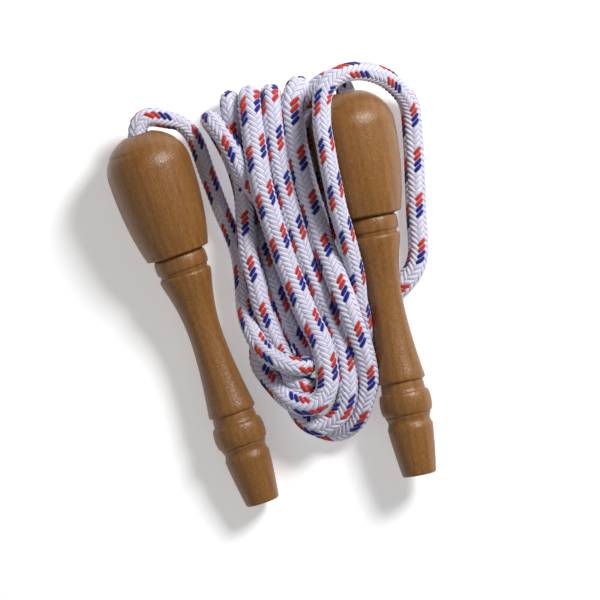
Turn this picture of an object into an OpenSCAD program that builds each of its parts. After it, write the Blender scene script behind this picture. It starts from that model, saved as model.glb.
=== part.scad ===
// Skipping rope: two turned wooden handles and one braided rope, put away as a wound hank.
// It lies on a flat surface. +Z is up, the handles' mouths point to +Y, and the origin is on the
// surface, under the middle of the two handles.

/* [Handles] */
// Length of each handle from rope mouth to tail end
handle_l = 160; // [150:1:175]
// Largest radius of the bulb at the rope end
bulb_r = 17.5; // [16:0.1:19]
// Radius at the waist, where the fingers close
waist_r = 6.9; // [6:0.1:8]
// Radius at the tail end
tail_r = 7.1; // [6:0.1:8]

/* [Rope] */
// Diameter of the braided rope
rope_d = 9; // [8:0.1:9.4]
// Depth of the blind bore that takes the rope end
bore_depth = 38; // [30:1:45]
// Radial play between the whipped rope end and its bore
bore_play = 0.1; // [0.05:0.01:0.2]
// Length of the thread whipping on each rope end
whipping_l = 16; // [10:1:18]
// Height of the wound hank
hank_h = 27; // [24:1:28]

/* [Fixing pins] */
// Diameter of the brad that holds the rope end
pin_d = 2; // [1.6:0.1:2.4]
// Diameter of the brad's flat head
pin_head_d = 4; // [3.4:0.1:5]
// Distance of the brad from the rope mouth
pin_at = 28; // [25:1:31]

/* [Lie of the handles] */
// Turn of the left handle about +Z, tail towards +X
left_heading = 18.8; // [18:0.1:19.5]
// Turn of the right handle about +Z, tail towards +X
right_heading = 11; // [10.5:0.1:11.5]
// Fall of the left handle's tail, which comes down to its bead
left_tilt = 3.45; // [3.3:0.05:3.6]
// Fall of the right handle's tail, which rests on the rope that passes under it
right_tilt = 1; // [0.8:0.05:1.05]

/* [Hidden] */
rope_r = rope_d / 2;
whipping_t = 0.5;
bore_r = rope_r + whipping_t + bore_play;
pin_l = bulb_r + 7;
pin_head_t = 0.8;
mouth_lip = 0.8;
mouth_edge_at = 1.2;
neck_l = 1.5;

// Rope mouths, at the centre of each handle's domed end
left_mouth = [-55, 67.9, 18.84];
right_mouth = [30, 85.2, 17.86];

// Stations along the handle, measured from the rope mouth
dome_l = 16;
taper_from = 18;
taper_to = 51.3;
taper_reach = 51;
taper_round = 0.9;
under_bulb_at = 52.6;
under_bulb_r = 10.6;
ring_from = 53;
ring_to = 59;
ring_r = 11;
ring_depth = 1;
groove_at = 59.9;
groove_r = 9.9;
body_from = 60.4;
body_r = 10.9;
shoulder_drop = 1.1;
shoulder_l = 1.6;
body_curve_from = 63;
waist_at = 88;
flare_to = 120;
flare_r = 9.9;
flare_round = 1.2;
neck_from = 123.6;
neck_to = 124.8;
neck_r = 9;
bead_at = 130;
bead_half_l = 4.6;
bead_r = 10.7;
bead_foot_r = 9.3;
cove_from = 135.4;
cove_r = 8.7;
tail_from = 139.5;
tail_top_r = 9.4;
edge_round = 1.2;
fine = 96;

// A point on the handle's axis, that far out of the mouth
function outside(mouth, heading, tilt, out) = mouth + out * [
    -sin(heading) * cos(tilt), cos(heading) * cos(tilt), sin(tilt)
];

// The centreline of each rope stretch that is not in the hank, mouth or hank end first
left_lead_route = [
    outside(left_mouth, left_heading, left_tilt, neck_l),
    outside(left_mouth, left_heading, left_tilt, neck_l + 0.5),
    [-55.4, 72.6, 18.6], [-54, 74.5, 18.4], [-51.8, 75.6, 18], [-49.3, 75.7, 17.5], [-46, 75, 16.6],
    [-42.2, 73.9, 15.2], [-38, 72.2, 13.5], [-34.3, 69.4, 11.6], [-31.7, 65.7, 10], [-29.7, 61, 8.6],
    [-27, 53, 7], [-24, 45, 6], [-20.5, 36, 5.5], [-17, 28, 5], [-13.5, 19, 5]
];
right_lead_route = [
    outside(right_mouth, right_heading, right_tilt, neck_l),
    outside(right_mouth, right_heading, right_tilt, neck_l + 0.5),
    [28.9, 88.7, 17.8], [27, 90.3, 17.3], [24.5, 90.8, 16.3], [22, 90, 15], [19, 87.5, 13],
    [16.5, 84, 10.5], [14, 80, 8.5], [12, 76, 7]
];
loop_route = [
    [35.5, 0, 21.5], [34.8, 6, 23.4], [33.7, 12, 25.6], [31.6, 20, 28.2], [29.4, 28, 30.6],
    [27, 36, 32.8], [25.2, 44.5, 34.6], [23.4, 53, 35.8], [22, 61, 36.4], [20.6, 69, 36.5],
    [20.3, 77, 35.6],
    [20.8, 82.6, 34.5], [23, 87.2, 33], [27.5, 90.8, 31], [33, 92.4, 28], [39, 92.4, 24],
    [45, 90.8, 19], [50, 87.8, 14], [54.3, 83.4, 9.5], [57, 77.5, 6.5], [58, 68, 5.2],
    [58.6, 58, 4.8], [59, 47, 4.6], [59.5, 35, 4.6], [60.2, 24, 4.6], [60, 17, 4.6],
    [57.5, 10.5, 4.6], [52, 4.5, 4.6], [45, 0.5, 4.6], [36.5, -3.5, 4.6]
];

// The hank's outline, seen from above
hank_outline = [
    [-27, 70], [-28, 73], [-27, 76], [-23, 77], [-20, 76], [-19, 81], [-16, 83], [-12, 86],
    [-7, 87], [0, 88], [7, 90], [11, 92], [14, 90], [14, 81], [15, 69], [16, 61], [18, 52],
    [21, 44], [23, 38], [26, 33], [29, 26], [31, 20], [34, 12], [37, 3], [39, -5], [40, -14],
    [41, -29], [42, -37], [41, -44], [39, -49], [35, -54], [30, -57], [15, -55], [11, -52],
    [7, -46], [1, -40], [-3, -35], [-6, -29], [-8, -22], [-12, -16], [-14, -11], [-15, -2],
    [-16, 8], [-17, 17], [-14, 31], [-14, 40], [-17, 49], [-19, 57], [-23, 64]
];

// ---- Handle outline, as [radius, station] points from the mouth to the tail ----

function dome(n = 24) = [
    for (i = [0:n]) let (a = mouth_angle() + (90 - mouth_angle()) * i / n)
        [bulb_r * sin(a), dome_l * (1 - cos(a))]
];
function mouth_angle() = asin((bore_r + mouth_lip) / bulb_r);
function taper(n = 16) = [
    for (i = [0:n]) let (s = taper_from + (taper_to - taper_from) * i / n)
        [taper_r(s), s]
];
function taper_r(s) = bulb_r * sqrt(1 - pow((s - taper_from) / taper_reach, 2));
function rounded_edge(r, s, w, n = 4) = [
    for (i = [1:n]) [r - w * (1 - cos(90 * i / n)), s + w * sin(90 * i / n)]
];
function ring(n = 12) = [
    for (i = [0:n]) let (a = 180 * i / n)
        [
            ring_r - ring_depth * (1 - pow(sin(a), 0.5)),
            (ring_from + ring_to) / 2 - (ring_to - ring_from) / 2 * cos(a)
        ]
];
function body_shoulder(n = 4) = [
    for (i = [0:n]) let (a = 90 * i / n)
        [body_r - shoulder_drop * (1 - sin(a)), body_from + shoulder_l * (1 - cos(a))]
];
function grip(n = 14) = concat(
    [for (i = [0:n]) let (t = 1 - i / n)
        [waist_r + (body_r - 0.1 - waist_r) * pow(t, 2), waist_at - (waist_at - body_curve_from) * t]],
    [for (i = [1:n]) let (t = i / n)
        [waist_r + (flare_r - waist_r) * pow(t, 1.7), waist_at + (flare_to - waist_at) * t]]
);
function bead(n = 12) = [
    for (i = [0:n]) let (a = 180 * i / n)
        [bead_foot_r + (bead_r - bead_foot_r) * pow(sin(a), 0.75), bead_at - bead_half_l * cos(a)]
];
function cove(n = 6) = [
    for (i = [0:n]) let (t = i / n)
        [cove_r + (tail_top_r - cove_r) * pow(2 * t - 1, 2), cove_from + (tail_from - cove_from) * t]
];
function tail(n = 8) = [
    for (i = [1:n]) let (t = i / n) [
        tail_top_r - (tail_top_r - tail_r) * pow(t, 1.3),
        tail_from + (handle_l - edge_round - tail_from) * t
    ]
];

handle_outline = concat(
    [[0, bore_depth], [bore_r, bore_depth], [bore_r, mouth_edge_at]],
    dome(), taper(), rounded_edge(taper_r(taper_to), taper_to, taper_round),
    [[under_bulb_r, under_bulb_at]], ring(), [[groove_r, groove_at]], body_shoulder(), grip(),
    rounded_edge(flare_r, flare_to, flare_round), [[neck_r, neck_from], [neck_r, neck_to]],
    bead(), cove(), tail(),
    rounded_edge(tail_r, handle_l - edge_round, edge_round), [[0, handle_l]]
);

// ---- Placing: a handle is turned along local +Z, from its mouth to its tail ----

module as_left() {
    translate(left_mouth) rotate([0, 0, left_heading]) rotate([90 + left_tilt, 0, 0]) children();
}
module as_right() {
    translate(right_mouth) rotate([0, 0, right_heading]) rotate([90 + right_tilt, 0, 0]) children();
}
// The hole and the brad run up from the underside of the lying handle
module pin_hole() {
    translate([0, -bulb_r - 1, pin_at]) rotate([-90, 0, 0]) cylinder(d = pin_d, h = pin_l + 1, $fn = 32);
}
module pin_seat() {
    translate([0, -bulb_r - 1, pin_at]) rotate([-90, 0, 0])
        cylinder(d = pin_head_d, h = 1 + seat_depth(), $fn = 32);
}
// The head sits flush where the bulb has started to taper
function seat_depth() = pin_head_t + bulb_r - taper_r(pin_at);

// ---- A tube swept along a route ----

function unit(v) = v / norm(v);
function heading_at(p, i) = unit(p[min(i + 1, len(p) - 1)] - p[max(i - 1, 0)]);
function side_at(t) = unit(cross(t, [0, 0, 1]));
function ring_at(p, i, r, sides) = let (t = heading_at(p, i), u = side_at(t), v = cross(u, t))
    [for (k = [0:sides - 1]) p[i] + r * (u * cos(360 * k / sides) + v * sin(360 * k / sides))];

module tube(p, r, sides = 10) {
    n = len(p);
    polyhedron(
        points = [for (i = [0:n - 1]) each ring_at(p, i, r, sides)],
        faces = concat(
            [[for (k = [0:sides - 1]) k]],
            [for (i = [0:n - 2]) for (k = [0:sides - 1])
                let (a = i * sides, b = a + sides, m = (k + 1) % sides)
                each [[a + k, b + k, b + m], [a + k, b + m, a + m]]],
            [[for (k = [sides - 1:-1:0]) (n - 1) * sides + k]]
        )
    );
}

// ---- Sub-parts ----

module turned_handle() {
    color("burlywood") difference() {
        rotate_extrude($fn = fine) polygon(handle_outline);
        pin_hole();
        pin_seat();
    }
}

module rope_end() {
    color("ghostwhite") difference() {
        cylinder(r = rope_r, h = bore_depth - 1, $fn = 48);
        pin_hole();
    }
}

module end_whipping() {
    color("lightgray") difference() {
        translate([0, 0, bore_depth - 1 - whipping_l])
            cylinder(r = rope_r + whipping_t, h = whipping_l, $fn = 48);
        translate([0, 0, bore_depth - 2 - whipping_l])
            cylinder(r = rope_r, h = whipping_l + 2, $fn = 48);
        pin_hole();
    }
}

module fixing_pin() {
    color("silver") translate([0, -bulb_r + seat_depth(), pin_at]) rotate([-90, 0, 0]) {
        cylinder(d = pin_d, h = pin_l - seat_depth() - 1, $fn = 32);
        translate([0, 0, -pin_head_t]) cylinder(d = pin_head_d, h = pin_head_t, $fn = 32);
    }
}

module handle_left() { as_left() turned_handle(); }
module handle_right() { as_right() turned_handle(); }
module rope_end_left() { as_left() rope_end(); }
module rope_end_right() { as_right() rope_end(); }
module end_whipping_left() { as_left() end_whipping(); }
module end_whipping_right() { as_right() end_whipping(); }
module fixing_pin_left() { as_left() fixing_pin(); }
module fixing_pin_right() { as_right() fixing_pin(); }

// The short straight stretch of rope in front of each mouth, where it flexes
module rope_neck_left() {
    color("ghostwhite") as_left() translate([0, 0, -neck_l]) cylinder(r = rope_r, h = neck_l, $fn = 48);
}
module rope_neck_right() {
    color("ghostwhite") as_right() translate([0, 0, -neck_l]) cylinder(r = rope_r, h = neck_l, $fn = 48);
}

module rope_lead_left() { color("ghostwhite") tube(left_lead_route, rope_r); }
module rope_lead_right() { color("ghostwhite") tube(right_lead_route, rope_r); }
module rope_loop_right() { color("ghostwhite") tube(loop_route, rope_r); }
module rope_hank() { color("ghostwhite") linear_extrude(hank_h) polygon(hank_outline); }

handle_left();
handle_right();
rope_end_left();
rope_end_right();
end_whipping_left();
end_whipping_right();
fixing_pin_left();
fixing_pin_right();
rope_neck_left();
rope_neck_right();
rope_lead_left();
rope_lead_right();
rope_loop_right();
rope_hank();
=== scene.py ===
"""Looks for a skipping rope: two turned beech handles and one braided rope, wound into a hank."""

import math

import bmesh
import bpy
import numpy as np
from mathutils import Matrix, Vector


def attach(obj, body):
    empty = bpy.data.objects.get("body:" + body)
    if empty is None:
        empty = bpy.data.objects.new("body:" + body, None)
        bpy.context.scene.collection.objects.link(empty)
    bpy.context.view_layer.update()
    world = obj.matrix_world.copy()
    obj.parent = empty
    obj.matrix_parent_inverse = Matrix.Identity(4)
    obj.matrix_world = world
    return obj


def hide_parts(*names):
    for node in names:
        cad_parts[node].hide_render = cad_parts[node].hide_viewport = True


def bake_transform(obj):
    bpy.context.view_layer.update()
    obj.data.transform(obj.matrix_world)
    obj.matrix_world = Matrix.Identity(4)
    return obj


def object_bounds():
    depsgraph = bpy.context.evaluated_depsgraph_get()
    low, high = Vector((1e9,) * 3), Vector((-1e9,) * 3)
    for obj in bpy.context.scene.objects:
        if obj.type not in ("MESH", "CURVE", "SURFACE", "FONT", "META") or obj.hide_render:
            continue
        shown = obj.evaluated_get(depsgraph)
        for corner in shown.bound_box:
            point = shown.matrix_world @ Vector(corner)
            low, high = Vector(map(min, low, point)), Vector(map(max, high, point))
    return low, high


bl_info = {
    "name": "Skipping Rope",
    "version": (1, 0, 0),
    "blender": (4, 5, 0),
    "location": "View3D > Sidebar > Skipping Rope",
    "description": "Makes the turned handles and the braided rope around the CAD frame",
    "category": "Add Mesh",
}

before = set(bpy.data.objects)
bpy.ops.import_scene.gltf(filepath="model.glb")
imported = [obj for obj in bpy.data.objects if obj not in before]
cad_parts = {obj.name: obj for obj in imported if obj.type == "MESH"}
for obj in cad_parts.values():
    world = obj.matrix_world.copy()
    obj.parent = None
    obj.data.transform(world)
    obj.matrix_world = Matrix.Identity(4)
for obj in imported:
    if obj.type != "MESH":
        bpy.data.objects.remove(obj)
CAD_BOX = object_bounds()
MM = 0.001

# ---- Where the handles lie: rope mouth, turn about +Z and fall of the tail, as in the CAD ----

HANDLES = {
    "left": {"mouth": (-55.0, 67.9, 18.84), "heading": 18.8, "tilt": 3.45, "grain_seed": 0.0},
    "right": {"mouth": (30.0, 85.2, 17.86), "heading": 11.0, "tilt": 1.0, "grain_seed": 7.3},
}

# ---- The rope, from the left mouth to the right one ----
# A stretch is its name, how firmly it keeps its place in plan and in height (0 to 1), its width and
# its height in millimetres, and the points that its centreline passes.

STRETCHES = [
    ("left_neck", 1, 1, 8.6, 8.6, [
        (-43.2, 33.2, 16.6), (-46.6, 43.2, 17.25), (-50.1, 53.5, 17.9), (-52.4, 60.3, 18.35),
        (-54.4, 66.2, 18.7)]),
    ("left_arc", 1, 1, 8.2, 8.2, [
        (-55.2, 68.5, 18.9), (-55.3, 70.6, 18.8), (-54.6, 72.2, 18.6), (-53.2, 73.5, 18.4),
        (-51.1, 74.2, 18), (-47.2, 74.1, 17), (-42.4, 73.4, 15.2)]),
    ("left_lead", 1, 1, 7.2, 7.2, [
        (-38, 72.2, 13.5), (-34.3, 69.4, 11.6), (-31.7, 65.7, 10), (-29.7, 61, 8.6), (-27, 53, 7),
        (-24, 45, 6), (-20.5, 36, 5.5), (-17, 28, 5), (-14, 20, 5)]),
    ("left_tip", 0.95, 0.3, 8, 8, [
        (-12, 11.5, 5.5), (-10.8, -0.5, 8), (-9.6, -7.3, 10.5), (-7.5, -13, 13.5), (-4.7, -18.4, 16.5),
        (-0.6, -22.8, 19), (4.7, -26, 20.5), (9.5, -27.4, 21), (13.6, -27.6, 19.5), (15.6, -25.4, 16)]),
    ("under_left", 0.9, 0.2, 8.6, 8.4, [
        (14, -21.3, 13), (10.2, -15.8, 12), (7, -10.4, 12), (4.7, -4.5, 12.2), (2.2, 2.4, 12),
        (-0.2, 9.8, 10.5), (-2.7, 17.5, 8.5), (-4.7, 24, 6.5), (-6.7, 30.2, 5), (-8.8, 36.3, 4.6),
        (-10.8, 42.4, 4.6), (-12.6, 49.8, 4.6), (-15.1, 57, 5), (-17.5, 62, 5.2), (-20.4, 67, 5.8)]),
    ("left_bight", 0.95, 0.6, 8.4, 8.4, [
        (-23.5, 71.6, 8), (-24.8, 73.4, 12.4), (-23.4, 71.8, 16.6), (-20.4, 68, 19.4), (-17.5, 63.6, 20.8),
        (-15.1, 58.8, 21), (-12.9, 53.9, 20), (-10, 47.5, 16.5)]),
    ("across", 0.1, 0.1, 9, 8.4, [
        (-5, 39, 13), (-1, 30, 12.5), (3, 20, 12.5), (7.5, 9, 12.5), (12, -2, 12.5), (17, -13, 12.5),
        (22, -20.5, 9), (27, -26, 5.5), (32, -29, 4.8), (36, -28.6, 6.5), (38.2, -24.5, 9.5),
        (38.8, -17.5, 13.5), (37.4, -8.5, 18)]),
    ("loop_rise", 0.95, 0.8, 8, 8, [
        (35.5, 0, 21.5), (34.8, 6, 23.4), (33.7, 12, 25.6), (31.6, 20, 28.2), (29.4, 28, 30.6),
        (27, 36, 32.8), (25.2, 44.5, 34.6), (23.4, 53, 35.8), (22, 61, 36.4), (20.6, 69, 36.5),
        (20.3, 77, 35.6)]),
    ("loop_top", 1, 1, 8.4, 8.4, [
        (20.8, 82.6, 34.5), (23, 87.2, 33), (27.5, 90.8, 31), (33, 92.4, 28), (39, 92.4, 24),
        (45, 90.8, 19), (50, 87.8, 14), (54.3, 83.4, 9.5)]),
    ("loop_side", 1, 1, 9.2, 9, [
        (57, 77.5, 6.5), (58, 68, 5.2), (58.6, 58, 4.8), (59, 47, 4.6), (59.5, 35, 4.6), (60.2, 24, 4.6),
        (60, 17, 4.6), (57.5, 10.5, 4.6), (52, 4.5, 4.6), (45, 0.5, 4.6), (36.5, -3.5, 4.6)]),
    ("floor_run", 0.2, 0.2, 9, 8.6, [
        (30, -6, 4.6), (23, -9.5, 4.6), (16.5, -14.5, 4.6), (13, -21.5, 4.8), (11.2, -28, 6.5),
        (8.6, -33.5, 8.5), (7.4, -38.5, 8.8)]),
    ("second_turn", 0.95, 0.25, 9, 8.6, [
        (8.2, -43, 9), (10.4, -46.9, 9.8), (13.7, -50.2, 11.5), (17.3, -51.8, 13), (21.4, -51, 14.5),
        (25.5, -48.6, 16), (28.8, -44.5, 17.5), (30.4, -39.6, 19)]),
    ("second_front", 0.95, 0.25, 9, 8.8, [
        (30.8, -35, 20), (30.4, -29, 20.5), (29.2, -20.8, 21), (27.5, -14.7, 21), (24.9, -8.6, 21),
        (22.2, -2.4, 21), (19.6, 3.7, 21), (15.9, 11.8, 21), (12.9, 20, 21), (10, 28.2, 21),
        (7.5, 36.3, 21), (5.1, 44.5, 21.5), (3.3, 52.6, 22), (1.8, 60.8, 22.5), (0.8, 69, 22.5),
        (0, 76, 22.2), (-0.4, 81.3, 20), (-0.5, 84, 13.5), (-0.2, 81.5, 7)]),
    ("second_back", 0.1, 0.3, 9, 8.6, [
        (1.5, 76, 4.8), (5.5, 69, 4.6), (9, 60, 4.6), (12.5, 49, 4.6), (16, 36, 4.6), (18.5, 24, 4.6),
        (18.2, 12, 4.6), (17.6, 3.5, 4.6), (19.6, -3.5, 4.6), (24.5, -5, 4.6), (28.4, -0.5, 4.6),
        (28.6, 9.5, 4.6), (27, 23, 4.6), (24.5, 36, 4.6), (21, 49, 4.6), (17.5, 60, 4.6), (14, 70, 4.6),
        (11.6, 78, 5)]),
    ("third_front", 0.95, 0.25, 10, 8.6, [
        (11, 84, 8), (11, 86.8, 13.5), (10.2, 84.8, 19), (8.6, 80, 22), (8.8, 73, 22.4), (10, 65, 22),
        (11.8, 56.7, 21.5), (13.7, 48.6, 21), (16.1, 40.4, 20.5), (18.4, 32.2, 20.5), (20.6, 24.1, 20.5),
        (23, 18, 21), (27.1, 7.8, 22.5), (30, -0.4, 23), (32.8, -8.6, 22), (35.5, -16.7, 20),
        (37.8, -24.9, 18), (38.8, -30, 16.5), (39, -35.1, 15.5)]),
    ("third_turn", 0.95, 0.25, 9.2, 8.6, [
        (37.7, -41.2, 14), (36.3, -46, 12), (33.7, -50.2, 9.5), (29.6, -53.3, 6.5), (25, -54.3, 4.8),
        (19, -52.5, 4.4), (14.8, -49, 4.4)]),
    ("third_back", 0.1, 0.3, 9, 8.6, [
        (12.6, -43.5, 4.5), (12, -38, 4.5), (10, -33, 4.5), (6, -26, 4.5), (4.5, -17, 4.5), (6, -8, 4.5),
        (9, 2, 4.5), (10.5, 12, 4.5), (10.5, 22, 4.5), (9.5, 30, 4.5), (7, 42, 4.5), (3.5, 54, 4.6),
        (-1, 65, 4.6), (-5.5, 73, 4.6), (-8.4, 78.5, 5.5)]),
    ("first_front", 0.95, 0.25, 10, 8.6, [
        (-8.8, 82, 9), (-8.9, 83, 13.5), (-8.9, 81.5, 18.5), (-8.8, 77, 21.8), (-7.8, 69, 22.4),
        (-6.7, 60.8, 22.8), (-5.5, 52.6, 23), (-3.9, 44.5, 22.6), (-1.4, 36.3, 22), (1.2, 28.2, 21.5),
        (4.1, 20, 21), (5.5, 15.9, 21), (8.8, 7.8, 21), (12, -0.4, 21), (15.7, -8.6, 21.5),
        (19.8, -16.7, 22), (22.2, -24.9, 22), (23.1, -33, 21.5)]),
    ("first_turn", 0.95, 0.3, 9.2, 8.8, [
        (22.2, -37.5, 21), (19.8, -41.2, 20.5), (16.1, -42.8, 20), (11.6, -42.4, 19), (7.1, -40, 17),
        (3.1, -36.3, 14), (-1, -31.8, 11), (-4.3, -26.9, 8.5)]),
    ("first_back", 0.1, 0.3, 9, 8.6, [
        (-5, -20, 5.5), (-4, -12, 4.6), (-1.5, -3, 4.6), (1, 6, 4.6), (2.5, 16, 4.6), (2, 27, 4.6),
        (-0.5, 39, 4.6), (-4, 50, 4.6), (-8, 60, 4.6), (-12, 70, 4.6), (-15.5, 77.5, 5.5)]),
    ("left_front", 0.95, 0.3, 8.8, 8.6, [
        (-17, 82, 8.6), (-17.4, 83, 13), (-17, 79.6, 16.6), (-16.2, 74, 17.4), (-15.5, 68, 16),
        (-14.9, 63, 13.5), (-13.6, 56, 12.5), (-12.4, 50.6, 12.5), (-10.8, 40.4, 12.5), (-10.2, 30, 12.5),
        (-9.2, 20, 13), (-7.3, 11.8, 13.5), (-5.3, 3.7, 13.5), (-3.1, -4.5, 13), (-0.7, -10.6, 12.5),
        (2, -16.7, 12), (4.6, -21.5, 12), (7, -28, 14.5), (10, -33.5, 16.5), (14, -35.9, 16),
        (19, -36.3, 13.5), (24.5, -35, 12)]),
    ("right_back", 0.1, 0.2, 9, 8.6, [
        (29.5, -30, 12), (32.5, -21, 12.5), (33, -12, 12.5), (31.5, 0, 12.5), (28, 14, 12.5),
        (25, 28, 12.5)]),
    ("right_lead", 0.9, 0.5, 8.4, 8.4, [
        (21.5, 40, 12.5), (18.5, 51, 12.5), (15.3, 63, 12.5), (13.5, 71, 12), (14, 78, 11),
        (16.5, 84, 11.5), (19, 87.5, 13)]),
    ("right_arc", 1, 1, 8, 8, [
        (22, 89.4, 15), (24.5, 90.2, 16.3), (27, 89.7, 17.3), (28.9, 88.2, 17.8), (29.8, 86.2, 17.85)]),
    ("right_neck", 1, 1, 8.6, 8.6, [
        (30.3, 83.7, 17.83), (31.6, 77, 17.7), (32.9, 70.3, 17.6), (35, 59.5, 17.4), (37, 49.2, 17.2)]),
]

# Each rope piece: its name, the stretches that it covers, and the CAD node that it stands for.
ROPE_PIECES = [
    ("rope_lead_left_braid", "left_arc", "left_lead", "rope_lead_left"),
    ("hank_turn_left_braid", "left_tip", "across", "rope_hank"),
    ("rope_loop_braid", "loop_rise", "loop_side", "rope_loop_right"),
    ("hank_turn_second_braid", "floor_run", "second_front", "rope_hank"),
    ("hank_turn_third_braid", "second_back", "third_front", "rope_hank"),
    ("hank_turn_first_braid", "third_turn", "first_front", "rope_hank"),
    ("hank_turn_last_braid", "first_turn", "right_back", "rope_hank"),
    ("rope_lead_right_braid", "right_lead", "right_arc", "rope_lead_right"),
]

# How the centreline is worked out, in millimetres
POINTS_PER_SPAN = 24
COARSE_STEP = 2.5       # between the points that settle
FINE_STEP = 1.0         # between the rows of the finished route
PATH_STEP = 2.0         # between the points of a cord's path
SAME_STRAND = 16        # nearer than this along the rope, two points do not push each other
STRAND_R = 4.3          # how near the middle line comes to the floor or a handle
STRAND_PUSH = 0.6       # share of a lap that one round takes away
HANDLE_PUSH = 0.5

# ---- The braid: sixteen carriers, two over two, four of them tracers ----

CARRIERS_EACH_WAY = 8
COLUMNS = 8
NOMINAL_R = 4.5
TRACERS = {3: 1.0, 2: 1.0, 1: 2.0, 0: 2.0}   # carrier number: 1 is red, 2 is blue
FLOAT_HALF_L = 2.35     # a yarn's float, between the two neighbours that it dives under
FLOAT_HALF_W = 0.88
FLOAT_HALF_T = 0.38
FLOAT_LEAN = math.radians(50)   # floats straighten a little: their carrier's helix leans 56 degrees
FLOAT_DIVE = 0.34       # how much deeper a float's ends lie than its middle
BLUNT_SIDES = 0.34      # 1 is an ellipse, and less is squarer
BLUNT_ENDS = 0.3
CORE_R = 4.08
CORE_SINK = 0.05        # how far the closed core lies under the floats' middles
CORE_SIDES = 16
CORE_PAINTED_SHADE = 0.78        # painted shade: the core, which shows between floats, is darkened to stand in for their shadow

# ---- The handles: stations along the handle from the rope mouth, and radii, in millimetres ----

HANDLE_L = 160.0
BORE_R = 5.1
BORE_DEPTH = 38.0
BORE_EDGE_AT = 1.2
MOUTH_LIP = 0.8         # width of the edge round the bore
DOME_H = 16
BULB_AT, BULB_R = 18, 17.5
BULB_STRETCH = 51       # half length of the ellipse that is the bulb's side
LINE_AT, LINE_DEPTH, LINE_HALF_W = 7.6, 0.3, 0.4    # the turner's line round the dome
SHOULDER_AT, SHOULDER_R, SHOULDER_ROUND = 51.3, 13.26, 0.9
RING_GROOVE_AT, RING_GROOVE_R = 52.6, 10.6
RING_AT, RING_R, RING_HALF_L, RING_H = 56, 10, 3, 1
GRIP_GROOVE_AT, GRIP_GROOVE_R = 59.9, 9.9
GRIP_EDGE_AT, GRIP_EDGE_R, GRIP_EDGE_L, GRIP_EDGE_DROP = 60.4, 10.9, 1.6, 1.1
FLARE_AT, FLARE_H = 63, 3.9
WAIST_AT, WAIST_R = 88, 6.9
GRIP_END_AT, GRIP_SWELL, GRIP_END_R, GRIP_ROUND = 120, 3.0, 9.9, 1.2
NECK_R, NECK_FROM, NECK_TO = 9.0, 123.6, 124.8
BEAD_AT, BEAD_R, BEAD_H, BEAD_HALF_L = 130, 9.3, 1.4, 4.6
COVE_AT, COVE_R, COVE_DEPTH, COVE_L = 135.4, 8.7, 0.7, 4.1
TAIL_AT, TAIL_R, TAIL_DROP, TAIL_L = 139.5, 9.4, 2.3, 19.3
TAIL_END_AT, TAIL_END_R, TAIL_ROUND = 158.8, 7.1, 1.2
SEAT_AT, SEAT_R, SEAT_DEPTH, SEAT_BULB_R = 28, 2.03, 0.8, 17.15   # the brad's head lies in it
SEAT_CUT = 4            # length of the cutter
SHARP_ANGLE = math.radians(38)

# ---- The stage, in metres ----

CAMERA_AT = (0.0116, -0.0004, 1.618)
CAMERA_LENS = 235.3
FLOOR_HALF = 3
LIGHTS = (              # name, place from the middle of the object, size, power
    ("key_light", (0.55, 0.6, 0.72), 0.3, 12.5),
    ("fill_light", (-0.7, -0.3, 0.8), 0.9, 1.2),
    ("back_light", (0.2, -0.8, 0.7), 0.7, 0.8),
)
WORLD_STRENGTH = 0.15


def linear(code):
    """An sRGB hex value as a linear colour."""
    parts = [int(code[i:i + 2], 16) / 255 for i in (1, 3, 5)]
    return [c / 12.92 if c <= 0.04045 else ((c + 0.055) / 1.055) ** 2.4 for c in parts] + [1.0]


class RopeSettings(bpy.types.PropertyGroup):
    lay: bpy.props.FloatProperty(
        name="Lay", description="Length of rope in which a carrier goes round once",
        default=0.0189, min=0.014, max=0.026, subtype="DISTANCE", unit="LENGTH")
    clearance: bpy.props.FloatProperty(
        name="Strand spacing", description="Centre distance at which two strands touch",
        default=0.0085, min=0.0075, max=0.0095, subtype="DISTANCE", unit="LENGTH")
    settle_rounds: bpy.props.IntProperty(
        name="Settle rounds", description="Rounds in which the strands push each other apart",
        default=160, min=0, max=400)
    tightest: bpy.props.FloatProperty(
        name="Tightest bend", description="Radius below which bends of the middle line are eased",
        default=0.0052, min=0.004, max=0.009, subtype="DISTANCE", unit="LENGTH")
    white: bpy.props.FloatVectorProperty(
        name="White yarn", description="Colour of the plain carriers",
        default=linear("#E0DEF2"), size=4, min=0, max=1, subtype="COLOR")
    red: bpy.props.FloatVectorProperty(
        name="Red tracer", description="Colour of the two red carriers",
        default=linear("#C8281C"), size=4, min=0, max=1, subtype="COLOR")
    blue: bpy.props.FloatVectorProperty(
        name="Blue tracer", description="Colour of the two blue carriers",
        default=linear("#0A1684"), size=4, min=0, max=1, subtype="COLOR")


class HandleSettings(bpy.types.PropertyGroup):
    steps: bpy.props.IntProperty(
        name="Spin steps", description="Faces round a handle", default=128, min=48, max=192)
    wood_light: bpy.props.FloatVectorProperty(
        name="Pale beech", description="Colour of the palest streaks",
        default=linear("#936330"), size=4, min=0, max=1, subtype="COLOR")
    wood: bpy.props.FloatVectorProperty(
        name="Beech", description="Colour of most of the wood",
        default=linear("#865926"), size=4, min=0, max=1, subtype="COLOR")
    wood_dark: bpy.props.FloatVectorProperty(
        name="Dark beech", description="Colour of the darkest streaks",
        default=linear("#774B20"), size=4, min=0, max=1, subtype="COLOR")
    fleck: bpy.props.FloatVectorProperty(
        name="Ray flecks", description="Colour of the small dark flecks",
        default=linear("#42260C"), size=4, min=0, max=1, subtype="COLOR")


# ---- Colours and nodes ----

def new_material(name):
    """A material with an empty node tree, and the tree."""
    material = bpy.data.materials.new(name)
    material.use_nodes = True
    material.node_tree.nodes.clear()
    return material, material.node_tree


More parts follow.
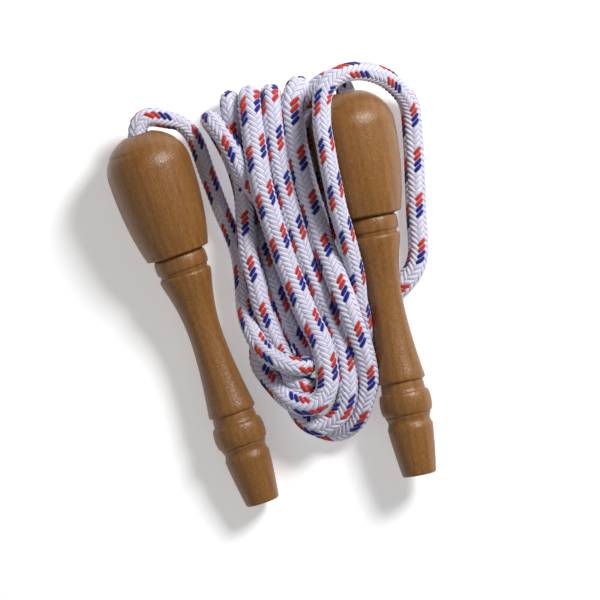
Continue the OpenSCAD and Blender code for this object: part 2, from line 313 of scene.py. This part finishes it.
def add(tree, kind, settings=None, stops=(), **links):
    """Adds a node. settings are its properties, or its inputs' values by name or number, stops its
    ramp's places and colours, and links the sources of its inputs, an underscore for each space."""
    node = tree.nodes.new(kind)
    for key, value in (settings or {}).items():
        if isinstance(key, int) or key in node.inputs:
            node.inputs[key].default_value = value
        else:
            setattr(node, key, value)
    for number, (position, colour) in enumerate(stops):
        elements = node.color_ramp.elements
        element = elements[number] if number < 2 else elements.new(position)
        element.position = position
        element.color = colour
    for name, source in links.items():
        name = name.replace("_", " ")
        tree.links.new(source, node.inputs[int(name[1:]) if name[1:].isdigit() else name])
    return node


def braid_material(settings):
    """Soft spun polyester braid: matt, a little fuzzy, each carrier a flat bundle of filaments."""
    material, tree = new_material("braided_polyester")
    carrier = add(tree, "ShaderNodeAttribute", {"attribute_name": "yarn_colour"})
    # Tone that differs at random from float to float, and painted shade on the core that shows between
    # floats
    tone = add(tree, "ShaderNodeAttribute", {"attribute_name": "yarn_tone_and_painted_shade"})
    lay = add(tree, "ShaderNodeUVMap", {"uv_map": "yarn_lay"})
    share = add(tree, "ShaderNodeMath", {"operation": "MULTIPLY", 1: 0.5}, i0=carrier.outputs["Fac"])
    colour = add(tree, "ShaderNodeValToRGB", Fac=share.outputs[0], stops=[
        (0.0, settings.white), (0.3, settings.red), (0.8, settings.blue)])
    colour.color_ramp.interpolation = "CONSTANT"
    # Filaments lie along the yarn, two or three ridges across its width. The same ridges bump the surface
    # and paint its colour: painted highlight on their tops and painted shade in the grooves between them.
    ridges = add(tree, "ShaderNodeTexWave", {
        "bands_direction": "Y", "Scale": 0.42, "Distortion": 1.6, "Detail": 2.0, "Detail Scale": 2.0},
        Vector=lay.outputs["UV"])
    # painted light and shade: the colour is darker in the grooves between filaments and lighter on their
    # tops
    painted_ridge_shade = add(tree, "ShaderNodeMapRange", {
        "From Min": 0.0, "From Max": 1.0, "To Min": 0.78, "To Max": 1.06}, Value=ridges.outputs["Fac"])
    both = add(tree, "ShaderNodeMath", {"operation": "MULTIPLY"},
        i0=painted_ridge_shade.outputs[0], i1=tone.outputs["Fac"])
    painted_shade_colour = add(tree, "ShaderNodeVectorMath", {"operation": "SCALE"},
        i0=colour.outputs["Color"], Scale=both.outputs[0])
    bump = add(tree, "ShaderNodeBump", {"Strength": 0.55, "Distance": 0.00012},
        Height=ridges.outputs["Fac"])
    shader = add(tree, "ShaderNodeBsdfPrincipled", {
        "Roughness": 0.72, "Sheen Weight": 0.25, "Sheen Roughness": 0.5, "Specular IOR Level": 0.25},
        Base_Color=painted_shade_colour.outputs[0], Normal=bump.outputs["Normal"])
    add(tree, "ShaderNodeOutputMaterial", Surface=shader.outputs["BSDF"])
    return material


def beech_material(name, settings, seed):
    """Steamed beech, turned and lacquered: fine ray flecks, soft streaks, small glints."""
    material, tree = new_material(name)
    place = add(tree, "ShaderNodeAttribute", {"attribute_name": "lathe_place"})

    def stretched(scale, shift):
        """Places on the handle in millimetres, scaled, and shifted so that no two textures agree."""
        return add(tree, "ShaderNodeMapping", {"Scale": scale, "Location": (shift, seed, 0)},
            Vector=place.outputs["Vector"]).outputs["Vector"]

    # Streaks a few millimetres wide and some centimetres long
    streaks = add(tree, "ShaderNodeTexNoise", {
        "Scale": 1.0, "Detail": 5.0, "Roughness": 0.6, "Distortion": 0.3},
        Vector=stretched((0.28, 0.28, 0.014), seed))
    rings = add(tree, "ShaderNodeTexWave", {
        "bands_direction": "X", "Scale": 0.32, "Distortion": 3.5, "Detail": 3.0, "Detail Scale": 1.4},
        Vector=stretched((0.3, 0.1, 0.012), 3.1 + seed))
    # Pores and ray flecks, 0.3 mm wide and 1 to 2 mm long
    flecks = add(tree, "ShaderNodeTexNoise", {"Scale": 1.0, "Detail": 2.0, "Roughness": 0.55},
        Vector=stretched((2.8, 2.8, 0.6), 11.7))
    fibres = add(tree, "ShaderNodeTexNoise", {"Scale": 1.0, "Detail": 3.0, "Roughness": 0.7},
        Vector=stretched((2.2, 2.2, 0.5), 23.9))
    total = add(tree, "ShaderNodeMath", {"operation": "MULTIPLY_ADD", 1: 0.14},
        i0=rings.outputs["Fac"], i2=streaks.outputs["Fac"])
    ground = add(tree, "ShaderNodeValToRGB", Fac=total.outputs[0], stops=[
        (0.30, settings.wood_dark), (0.58, settings.wood), (0.90, settings.wood_light)])
    mask = add(tree, "ShaderNodeMapRange", {"From Min": 0.58, "From Max": 0.68, "To Max": 0.5},
        Value=flecks.outputs["Fac"])
    flecked = add(tree, "ShaderNodeMix", {"data_type": "RGBA", 7: settings.fleck},
        i0=mask.outputs["Result"], i6=ground.outputs["Color"])
    fibre_shade = add(tree, "ShaderNodeMapRange", {
        "From Min": 0.35, "From Max": 0.65, "To Min": 0.82, "To Max": 1.16}, Value=fibres.outputs["Fac"])
    wood = add(tree, "ShaderNodeVectorMath", {"operation": "SCALE"},
        i0=flecked.outputs[2], Scale=fibre_shade.outputs[0])
    # The lacquer follows the raised grain, which breaks its glints up
    peel = add(tree, "ShaderNodeTexNoise", {"Scale": 1.0, "Detail": 3.0, "Roughness": 0.6},
        Vector=stretched((1.9, 1.9, 0.9), 41.3))
    bump = add(tree, "ShaderNodeBump", {"Strength": 1.0, "Distance": 0.00018}, Height=peel.outputs["Fac"])
    shader = add(tree, "ShaderNodeBsdfPrincipled", {
        "Roughness": 0.55, "Specular IOR Level": 0.25,
        "Coat Weight": 0.5, "Coat Roughness": 0.22, "Coat IOR": 1.5},
        Base_Color=wood.outputs[0], Normal=bump.outputs["Normal"], Coat_Normal=bump.outputs["Normal"])
    add(tree, "ShaderNodeOutputMaterial", Surface=shader.outputs["BSDF"])
    return material


def plain_material(name, code, metallic, roughness, grain_mm):
    """A small hidden piece's finish, with a grain of that size."""
    material, tree = new_material(name)
    place = add(tree, "ShaderNodeTexCoord")
    grain = add(tree, "ShaderNodeTexNoise", {"Scale": 1000 / grain_mm, "Detail": 2.0},
        Vector=place.outputs["Object"])
    bright = linear(code)
    colour = add(tree, "ShaderNodeValToRGB", Fac=grain.outputs["Fac"], stops=[
        (0.3, [c * 0.8 for c in bright[:3]] + [1]), (0.7, bright)])
    bump = add(tree, "ShaderNodeBump", {"Strength": 0.3, "Distance": 0.0001},
        Height=grain.outputs["Fac"])
    shader = add(tree, "ShaderNodeBsdfPrincipled", {"Metallic": metallic, "Roughness": roughness},
        Base_Color=colour.outputs["Color"], Normal=bump.outputs["Normal"])
    add(tree, "ShaderNodeOutputMaterial", Surface=shader.outputs["BSDF"])
    return material


# ---- Meshes ----

def new_object(name, bm, material):
    """Turns a bmesh, which it frees, into an object of the scene."""
    mesh = bpy.data.meshes.new(name)
    bm.to_mesh(mesh)
    bm.free()
    piece = bpy.data.objects.new(name, mesh)
    bpy.context.scene.collection.objects.link(piece)
    mesh.materials.append(material)
    return piece


def coordinates(mesh):
    """The places of a mesh's vertices, one row each."""
    places = np.zeros(len(mesh.vertices) * 3)
    mesh.vertices.foreach_get("co", places)
    return places.reshape(-1, 3)


def set_attribute(mesh, name, kind, values):
    """Gives each vertex a number (FLOAT) or three (FLOAT_VECTOR) for a shader to read."""
    attribute = mesh.attributes.new(name, kind, "POINT")
    field = "value" if kind == "FLOAT" else "vector"
    attribute.data.foreach_set(field, np.asarray(values, np.float32).ravel())


def shade_smooth(mesh):
    mesh.polygons.foreach_set("use_smooth", np.ones(len(mesh.polygons), bool))


# ---- Rope route ----

def curve_through(points, per_span):
    """A smooth curve through points, with per_span steps between each two of them."""
    first = 2 * points[0] - points[1]
    last = 2 * points[-1] - points[-2]
    p = np.vstack([first, points, last])
    t = np.arange(per_span)[:, None] / per_span
    spans = []
    for a, b, c, d in zip(p[:-3], p[1:-2], p[2:-1], p[3:]):
        spans.append(0.5 * (2 * b + (c - a) * t + (2 * a - 5 * b + 4 * c - d) * t ** 2
                            + (3 * b - a - 3 * c + d) * t ** 3))
    return np.vstack(spans + [points[-1:]])


def run_along(curve):
    """How far along the curve each of its rows lies."""
    return np.concatenate([[0], np.cumsum(np.linalg.norm(np.diff(curve[:, :3], axis=0), axis=1))])


def evenly(curve, step):
    """Columns of curve at equal steps of the length of its first three columns."""
    run = run_along(curve)
    at = np.linspace(0, run[-1], max(2, round(run[-1] / step) + 1))
    return np.stack([np.interp(at, run, column) for column in curve.T], 1)


def handle_frame(lie):
    """The turn that takes the lathe's frame, mouth to tail along +Z, to where the handle lies."""
    return (Matrix.Rotation(math.radians(lie["heading"]), 3, "Z")
            @ Matrix.Rotation(math.radians(90 + lie["tilt"]), 3, "X"))


def clear_of_handles(points):
    """How far each point has to move to lie outside both handles."""
    push = np.zeros_like(points)
    mouth_room = 4      # so near the mouth a handle does not push, as the rope goes in there
    stations, radii = np.array([(s, r) for r, s in handle_outline() if s < HANDLE_L]).T
    order = np.argsort(stations, kind="stable")
    for lie in HANDLES.values():
        turn = np.array(handle_frame(lie))
        local = (points - np.array(lie["mouth"])) @ turn
        out = np.hypot(local[:, 0], local[:, 1]) + 1e-9
        needed = np.interp(local[:, 2], stations[order], radii[order]) + STRAND_R
        inside = (local[:, 2] > mouth_room) & (local[:, 2] < HANDLE_L) & (out < needed)
        move = np.zeros_like(local)
        move[inside, :2] = local[inside, :2] / out[inside, None] * (needed - out)[inside, None]
        push += move @ turn.T
    return push


def settle(points, hold, spacing, rounds):
    """Strands nearer than spacing push each other apart, and none sinks into the floor or a handle."""
    number = np.arange(len(points))
    apart = np.abs(number[:, None] - number[None]) * COARSE_STEP > SAME_STRAND
    give = 1 - hold[:, [0, 0, 1]]
    moved = np.zeros_like(points)
    for _ in range(rounds):
        now = points + moved
        gap = now[:, None] - now[None]
        distance = np.linalg.norm(gap, axis=2) + 1e-9
        lap = np.where(apart & (distance < spacing), spacing - distance, 0)
        touching = np.maximum((lap > 0).sum(1), 1)
        push = (gap / distance[..., None] * lap[..., None]).sum(1) / touching[:, None]
        moved += (STRAND_PUSH * push + HANDLE_PUSH * clear_of_handles(now)) * give
        for _ in range(2):
            moved[1:-1] = 0.5 * moved[1:-1] + 0.25 * (moved[:-2] + moved[2:])
            moved *= np.where(give > 0, 1, 0)
        moved[:, 2] = np.maximum(moved[:, 2], STRAND_R - points[:, 2])
    return points + moved


def ease_bends(points, tightest, rounds=80, share=0.2):
    """Opens bends of the chain of points that are tighter than that radius."""
    for _ in range(rounds):
        inward = points[:-2] - 2 * points[1:-1] + points[2:]
        step = np.linalg.norm(points[2:] - points[:-2], axis=1) / 2
        tight = step ** 2 < tightest * np.linalg.norm(inward, axis=1)
        points[1:-1][tight] += share * inward[tight]
    return points


def rope_route(settings):
    """The settled centreline, one row a millimetre: place, width and height, and each stretch's start."""
    rows, first_row = [], {}
    for name, hold_plan, hold_height, width, height, points in STRETCHES:
        first_row[name] = len(rows)
        rows += [(*point, hold_plan, hold_height, width, height) for point in points]
    curve = curve_through(np.array(rows, float), POINTS_PER_SPAN)
    run = run_along(curve)
    starts = {name: run[row * POINTS_PER_SPAN] / run[-1] for name, row in first_row.items()}
    coarse = evenly(curve, COARSE_STEP)
    hold = np.clip(coarse[:, 3:5], 0, 1)
    settled = settle(coarse[:, :3], hold, settings.clearance / MM, settings.settle_rounds)
    coarse[:, :3] = ease_bends(settled, settings.tightest / MM)
    fine = evenly(curve_through(coarse, 6), FINE_STEP)
    length = (len(fine) - 1) * FINE_STEP
    return fine, {name: share * length for name, share in starts.items()}


class Lay:
    """Lays points of a straight rope on its route: s along it, angle round it, r out from its middle."""

    def __init__(self, route):
        self.place = route[:, :3]
        self.size = route[:, 5:7]
        self.length = float(np.linalg.norm(np.diff(self.place, axis=0), axis=1).sum())
        along = np.gradient(self.place, axis=0)
        self.along = along / np.linalg.norm(along, axis=1)[:, None]
        side = np.zeros_like(self.along)
        side[0] = np.cross(self.along[0], (0, 0, 1))
        for i in range(1, len(side)):
            carried = side[i - 1] - side[i - 1] @ self.along[i] * self.along[i]
            side[i] = carried / np.linalg.norm(carried)
        side[0] /= np.linalg.norm(side[0])
        self.side = side
        self.up = np.cross(self.along, side)

    def at(self, table, s):
        """The rows of a table of the route at those stations."""
        t = np.clip(s / self.length, 0, 1) * (len(table) - 1)
        low = np.minimum(t.astype(int), len(table) - 2)
        return table[low] + (table[low + 1] - table[low]) * (t - low)[:, None]

    def points(self, s, angle, r):
        """Where points of the straight rope lie, pressed to the width and height that it has there."""
        out = (self.at(self.side, s) * np.cos(angle)[:, None]
               + self.at(self.up, s) * np.sin(angle)[:, None])
        out *= r[:, None]
        size = self.at(self.size, s) / (2 * NOMINAL_R)
        out[:, :2] *= size[:, :1]
        out[:, 2] *= size[:, 1]
        return self.at(self.place, s) + out


# ---- Braid ----

def yarn_float(bm):
    """One float, a flat bundle with blunt ends, unit size, its length along Z."""
    bmesh.ops.create_uvsphere(bm, u_segments=8, v_segments=6, radius=1)
    for vertex in bm.verts:
        out = math.hypot(vertex.co.x, vertex.co.y)
        if out > 1e-6:
            blunt = out ** BLUNT_SIDES / out
            vertex.co.x *= blunt
            vertex.co.y *= blunt
        vertex.co.z = math.copysign(abs(vertex.co.z) ** BLUNT_ENDS, vertex.co.z)


def many_floats(count):
    """A mesh of count floats, one after another, made by an array, and one float's vertices."""
    bm = bmesh.new()
    yarn_float(bm)
    shape = np.array([v.co[:] for v in bm.verts])
    mesh = bpy.data.meshes.new("yarn_float")
    bm.to_mesh(mesh)
    bm.free()
    single = bpy.data.objects.new("yarn_float", mesh)
    bpy.context.scene.collection.objects.link(single)
    array = single.modifiers.new("floats", "ARRAY")
    array.count = count
    array.use_relative_offset = False
    array.use_constant_offset = True
    array.constant_offset_displace = (0, 0, 3)
    evaluated = single.evaluated_get(bpy.context.evaluated_depsgraph_get())
    copies = bpy.data.meshes.new_from_object(evaluated)
    bpy.data.objects.remove(single)
    bpy.data.meshes.remove(mesh)
    return copies, shape


def float_places(start, end, lay_length):
    """Each float between two stations: its station, angle, slant, colour and tone."""
    spacing = lay_length / CARRIERS_EACH_WAY
    places = []
    for column in range(COLUMNS):
        rising = column % 2 == 0
        shift = 0 if rising else 0.5
        lowest = math.ceil(start / spacing - shift)
        highest = math.floor(end / spacing - shift)
        for number in range(lowest, highest + 1):
            carrier = (column - number) % CARRIERS_EACH_WAY
            colour = TRACERS.get(carrier, 0.0) if rising else 0.0
            # A little lighter or darker from float to float, the same each time
            tone = 0.97 + 0.05 * math.sin(12.9 * number + 78.2 * column)
            places.append(((number + shift) * spacing, column * math.tau / COLUMNS,
                           1 if rising else -1, colour, tone))
    return np.array(places)


def braid(name, lay, start, end, settings, material):
    """The braided rope between two stations of its route: yarn floats over a closed core."""
    places = float_places(start, end, settings.lay / MM)
    copies, shape = many_floats(len(places))
    station, angle, slant, colour, tone = (np.repeat(column, len(shape)) for column in places.T)
    across, out, along = (np.tile(column, len(places)) for column in shape.T)
    run = along * FLOAT_HALF_L
    wide = across * FLOAT_HALF_W
    s = station + run * math.cos(FLOAT_LEAN) - wide * math.sin(FLOAT_LEAN) * slant
    turn = angle + (run * math.sin(FLOAT_LEAN) * slant + wide * math.cos(FLOAT_LEAN)) / NOMINAL_R
    r = CORE_R + out * FLOAT_HALF_T - FLOAT_DIVE * along ** 2
    laid = lay.points(s, turn, r)

    bm = bmesh.new()
    rings = max(2, round((end - start) / PATH_STEP))
    bmesh.ops.create_grid(bm, x_segments=CORE_SIDES, y_segments=rings, size=1)
    flat = np.array([v.co[:] for v in bm.verts])
    core = lay.points(start + (flat[:, 1] + 1) / 2 * (end - start), flat[:, 0] * math.pi,
                      np.full(len(flat), CORE_R - CORE_SINK))
    for vertex, place in zip(bm.verts, core):
        vertex.co = place
    bmesh.ops.remove_doubles(bm, verts=bm.verts, dist=0.0001)
    bmesh.ops.holes_fill(bm, edges=bm.edges)
    bmesh.ops.recalc_face_normals(bm, faces=bm.faces)
    core_mesh = bpy.data.meshes.new("rope_core")
    bm.to_mesh(core_mesh)
    bm.free()

    copies.vertices.foreach_set("co", laid.ravel())
    bm = bmesh.new()
    bm.from_mesh(copies)
    bm.from_mesh(core_mesh)
    bmesh.ops.scale(bm, vec=(MM, MM, MM), verts=bm.verts)
    piece = new_object(name, bm, material)
    mesh = piece.data
    core_count = len(mesh.vertices) - len(laid)
    set_attribute(mesh, "yarn_colour", "FLOAT", np.concatenate([colour, np.zeros(core_count)]))
    # The floats' tone differs at random; the core's is painted shade, darker where it shows between floats
    set_attribute(mesh, "yarn_tone_and_painted_shade", "FLOAT", np.concatenate([tone, np.full(core_count, CORE_PAINTED_SHADE)]))
    flat_lay = np.vstack([np.stack([run, wide], 1), np.zeros((core_count, 2))])
    corners = np.zeros(len(mesh.loops), int)
    mesh.loops.foreach_get("vertex_index", corners)
    mesh.uv_layers.new(name="yarn_lay").data.foreach_set("uv", flat_lay[corners].ravel())
    shade_smooth(mesh)
    bpy.data.meshes.remove(copies)
    bpy.data.meshes.remove(core_mesh)
    return piece


# ---- Handles ----

def arc(start, end, steps):
    """Even steps from start to end, without start itself."""
    return [start + (end - start) * i / steps for i in range(1, steps + 1)]


def handle_outline():
    """Half the handle's section, as (radius, station) from the rope mouth to the tail end."""
    quarter = math.pi / 2
    half_turn = math.pi * 0.999     # just short, so that its sine is never below 0
    arch = [0] + arc(0, half_turn, 14)
    wide_arch = [0] + arc(0, half_turn, 16)
    mouth = math.asin((BORE_R + MOUTH_LIP) / BULB_R)
    # The dome, with the turner's line round it
    points = [(BULB_R * math.sin(a), DOME_H * (1 - math.cos(a)))
              for a in [mouth] + arc(mouth, quarter, 28)]
    points = [(r - LINE_DEPTH * math.exp(-((s - LINE_AT) / LINE_HALF_W) ** 2), s) for r, s in points]
    # The bulb's side, its rounded shoulder, and the ring between two grooves
    points += [(BULB_R * math.sqrt(1 - ((s - BULB_AT) / BULB_STRETCH) ** 2), s)
               for s in arc(BULB_AT - 1, SHOULDER_AT, 18) if s >= BULB_AT]
    points += [(SHOULDER_R - SHOULDER_ROUND * (1 - math.cos(a)),
                SHOULDER_AT + SHOULDER_ROUND * math.sin(a)) for a in arc(0, quarter, 5)]
    points += [(RING_GROOVE_R, RING_GROOVE_AT)]
    points += [(RING_R + RING_H * math.sin(a) ** 0.5, RING_AT - RING_HALF_L * math.cos(a)) for a in arch]
    points += [(GRIP_GROOVE_R, GRIP_GROOVE_AT)]
    # The grip: its edge, the fall to the waist and the swell behind it
    points += [(GRIP_EDGE_R - GRIP_EDGE_DROP * (1 - math.sin(a)),
                GRIP_EDGE_AT + GRIP_EDGE_L * (1 - math.cos(a))) for a in [0] + arc(0, quarter, 5)]
    points += [(WAIST_R + FLARE_H * (1 - t) ** 2, FLARE_AT + (WAIST_AT - FLARE_AT) * t)
               for t in arc(0, 1, 16)]
    points += [(WAIST_R + GRIP_SWELL * t ** 1.7, WAIST_AT + (GRIP_END_AT - WAIST_AT) * t)
               for t in arc(0, 1, 16)]
    points += [(GRIP_END_R - GRIP_ROUND * (1 - math.cos(a)), GRIP_END_AT + GRIP_ROUND * math.sin(a))
               for a in arc(0, quarter, 5)]
    # The neck, the bead, the cove and the tapered tail
    points += [(NECK_R, NECK_FROM), (NECK_R, NECK_TO)]
    points += [(BEAD_R + BEAD_H * math.sin(a) ** 0.75, BEAD_AT - BEAD_HALF_L * math.cos(a))
               for a in wide_arch]
    points += [(COVE_R + COVE_DEPTH * (2 * t - 1) ** 2, COVE_AT + COVE_L * t) for t in [0] + arc(0, 1, 8)]
    points += [(TAIL_R - TAIL_DROP * t ** 1.3, TAIL_AT + TAIL_L * t) for t in arc(0, 1, 10)]
    points += [(TAIL_END_R - TAIL_ROUND * (1 - math.cos(a)), TAIL_END_AT + TAIL_ROUND * math.sin(a))
               for a in arc(0, quarter, 5)]
    return points


def turned_handle(side, settings, material):
    """A handle spun from its outline, with the bore and the brad's seat."""
    lie = HANDLES[side]
    bore = [(0.0, BORE_DEPTH), (BORE_R, BORE_DEPTH), (BORE_R, BORE_EDGE_AT)]
    outline = bore + handle_outline() + [(0.0, HANDLE_L)]
    bm = bmesh.new()
    profile = [bm.verts.new((r, 0, s)) for r, s in outline]
    edges = [bm.edges.new(pair) for pair in zip(profile[:-1], profile[1:])]
    bmesh.ops.spin(bm, geom=profile + edges, cent=(0, 0, 0), axis=(0, 0, 1), dvec=(0, 0, 0),
                   angle=math.tau, steps=settings.steps, use_merge=True, use_duplicate=False)
    bmesh.ops.remove_doubles(bm, verts=bm.verts, dist=0.001)
    bmesh.ops.recalc_face_normals(bm, faces=bm.faces)
    piece = new_object(f"turned_handle_{side}", bm, material)

    seat = bmesh.new()
    cutter_y = -SEAT_BULB_R + SEAT_DEPTH - SEAT_CUT / 2
    upright = Matrix.Rotation(math.pi / 2, 4, "X")
    bmesh.ops.create_cone(seat, cap_ends=True, segments=32, radius1=SEAT_R, radius2=SEAT_R, depth=SEAT_CUT,
                          matrix=Matrix.Translation((0, cutter_y, SEAT_AT)) @ upright)
    cutter = new_object("brad_seat_cutter", seat, material)
    cut = piece.modifiers.new("brad_seat", "BOOLEAN")
    cut.object = cutter
    cut.solver = "EXACT"
    bpy.context.view_layer.update()
    evaluated = piece.evaluated_get(bpy.context.evaluated_depsgraph_get())
    mesh = bpy.data.meshes.new_from_object(evaluated)
    piece.modifiers.clear()
    piece.data = mesh
    bpy.data.objects.remove(cutter)

    set_attribute(mesh, "lathe_place", "FLOAT_VECTOR", coordinates(mesh))
    turn = handle_frame(lie).to_4x4()
    mesh.transform(Matrix.Scale(MM, 4) @ Matrix.Translation(lie["mouth"]) @ turn)
    shade_smooth(mesh)
    mesh.set_sharp_from_angle(angle=SHARP_ANGLE)
    return piece


# ---- Operators ----

ROPE = {}               # filled by rope_parts, which makes the route only once


def rope_parts():
    """The route, its lay, the stations of its stretches and the braid's material, made once."""
    if not ROPE:
        settings = bpy.context.scene.rope_settings
        route, starts = rope_route(settings)
        ROPE.update(lay=Lay(route), starts=starts, settings=settings,
                    material=braid_material(settings))
    return ROPE


def stretch_end(name, rope):
    """The station at which a stretch ends and the next one starts."""
    names = [stretch[0] for stretch in STRETCHES]
    following = names.index(name) + 1
    return rope["starts"][names[following]] if following < len(names) else rope["lay"].length


def make_rope_piece(name, first, last, node):
    """The braid of the stretches from first to last, and its path in metres."""
    rope = rope_parts()
    start, end = rope["starts"][first], stretch_end(last, rope)
    piece = braid(name, rope["lay"], start, end, rope["settings"], rope["material"])
    path = rope["lay"].at(rope["lay"].place, np.arange(start, end, PATH_STEP)) * MM
    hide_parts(node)
    return piece, path


class ROPE_OT_leads(bpy.types.Operator):
    """Make the two stretches of rope that come out of the handles"""
    bl_idname = "rope.leads"
    bl_label = "Rope leads"

    def execute(self, context):
        rope = rope_parts()
        for side in HANDLES:
            first = rope["starts"][f"{side}_neck"]
            last = stretch_end(f"{side}_neck", rope)
            neck = braid(f"rope_neck_{side}_braid", rope["lay"], first, last, rope["settings"],
                         rope["material"])
            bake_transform(neck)
            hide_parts(f"rope_neck_{side}", f"rope_end_{side}")
        for name, first, last, node in ROPE_PIECES:
            if "lead" not in name:
                continue
            side = "left" if "left" in name else "right"
            piece, path = make_rope_piece(name, first, last, node)
            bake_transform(piece)
        return {"FINISHED"}


class ROPE_OT_hank(bpy.types.Operator):
    """Make the wound hank and the loop round the right handle"""
    bl_idname = "rope.hank"
    bl_label = "Rope hank"

    def execute(self, context):
        for name, first, last, node in ROPE_PIECES:
            if "lead" not in name:
                piece, _ = make_rope_piece(name, first, last, node)
                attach(piece, "rope")
        return {"FINISHED"}


class ROPE_OT_handles(bpy.types.Operator):
    """Make the two turned handles"""
    bl_idname = "rope.handles"
    bl_label = "Turned handles"

    def execute(self, context):
        settings = context.scene.handle_settings
        for side, lie in HANDLES.items():
            wood = beech_material(f"lacquered_beech_{side}", settings, lie["grain_seed"])
            piece = turned_handle(side, settings, wood)
            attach(piece, f"{side}_handle")
            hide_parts(f"handle_{side}")
        return {"FINISHED"}


class ROPE_OT_hidden_pieces(bpy.types.Operator):
    """Finish the pieces inside the handles: whippings and brads"""
    bl_idname = "rope.hidden_pieces"
    bl_label = "Hidden pieces"

    def execute(self, context):
        finishes = {
            "end_whipping": plain_material("waxed_twine", "#D8CBB0", 0.0, 0.6, 0.5),
            "fixing_pin": plain_material("steel_brad", "#B4B6BA", 1.0, 0.35, 0.3),
        }
        for kind, finish in finishes.items():
            for side in HANDLES:
                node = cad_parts[f"{kind}_{side}"]
                for place in node.material_slots:
                    place.material = finish
        return {"FINISHED"}


class ROPE_OT_stage(bpy.types.Operator):
    """Make the floor, the lights and the camera"""
    bl_idname = "rope.stage"
    bl_label = "Stage"

    def execute(self, context):
        scene = context.scene
        low, high = Vector(CAD_BOX[0]), Vector(CAD_BOX[1])
        middle = (low + high) / 2
        camera = bpy.data.objects.new("camera", bpy.data.cameras.new("camera"))
        scene.collection.objects.link(camera)
        camera.data.lens = CAMERA_LENS
        camera.data.clip_start = 0.01
        camera.location = CAMERA_AT
        scene.camera = camera

        bm = bmesh.new()
        bmesh.ops.create_grid(bm, x_segments=1, y_segments=1, size=FLOOR_HALF)
        floor_finish, tree = new_material("pale_floor")
        shader = add(tree, "ShaderNodeBsdfPrincipled", {
            "Base Color": linear("#F7F7F7"), "Roughness": 0.9,
            "Emission Color": (1, 1, 1, 1), "Emission Strength": 0.3})
        add(tree, "ShaderNodeOutputMaterial", Surface=shader.outputs["BSDF"])
        new_object("floor", bm, floor_finish)

        for name, offset, size, power in LIGHTS:
            light = bpy.data.objects.new(name, bpy.data.lights.new(name, "AREA"))
            light.data.size = size
            light.data.energy = power
            light.location = middle + Vector(offset)
            light.rotation_euler = (middle - light.location).to_track_quat("-Z", "Y").to_euler()
            scene.collection.objects.link(light)

        world = bpy.data.worlds.new("studio")
        scene.world = world
        world.use_nodes = True
        background = world.node_tree.nodes["Background"]
        background.inputs["Color"].default_value = (1, 1, 1, 1)
        background.inputs["Strength"].default_value = WORLD_STRENGTH
        scene.view_settings.view_transform = "Standard"
        return {"FINISHED"}


class ROPE_PT_panel(bpy.types.Panel):
    """The settings and a button for each operator"""
    bl_label = "Skipping Rope"
    bl_idname = "ROPE_PT_panel"
    bl_space_type = "VIEW_3D"
    bl_region_type = "UI"
    bl_category = "Skipping Rope"

    def draw(self, context):
        layout = self.layout
        for settings in (context.scene.rope_settings, context.scene.handle_settings):
            for name in settings.__annotations__:
                layout.prop(settings, name)
        for operator in OPERATORS:
            layout.operator(operator.bl_idname)


OPERATORS = (ROPE_OT_stage, ROPE_OT_leads, ROPE_OT_hank, ROPE_OT_handles, ROPE_OT_hidden_pieces)
CLASSES = (RopeSettings, HandleSettings, *OPERATORS, ROPE_PT_panel)


def register():
    for item in CLASSES:
        bpy.utils.register_class(item)
    bpy.types.Scene.rope_settings = bpy.props.PointerProperty(type=RopeSettings)
    bpy.types.Scene.handle_settings = bpy.props.PointerProperty(type=HandleSettings)


def unregister():
    del bpy.types.Scene.handle_settings
    del bpy.types.Scene.rope_settings
    for item in reversed(CLASSES):
        bpy.utils.unregister_class(item)


def main():
    register()
    bpy.ops.rope.stage()
    bpy.ops.rope.leads()
    bpy.ops.rope.hank()
    bpy.ops.rope.handles()
    bpy.ops.rope.hidden_pieces()


if __name__ == "__main__":
    main()
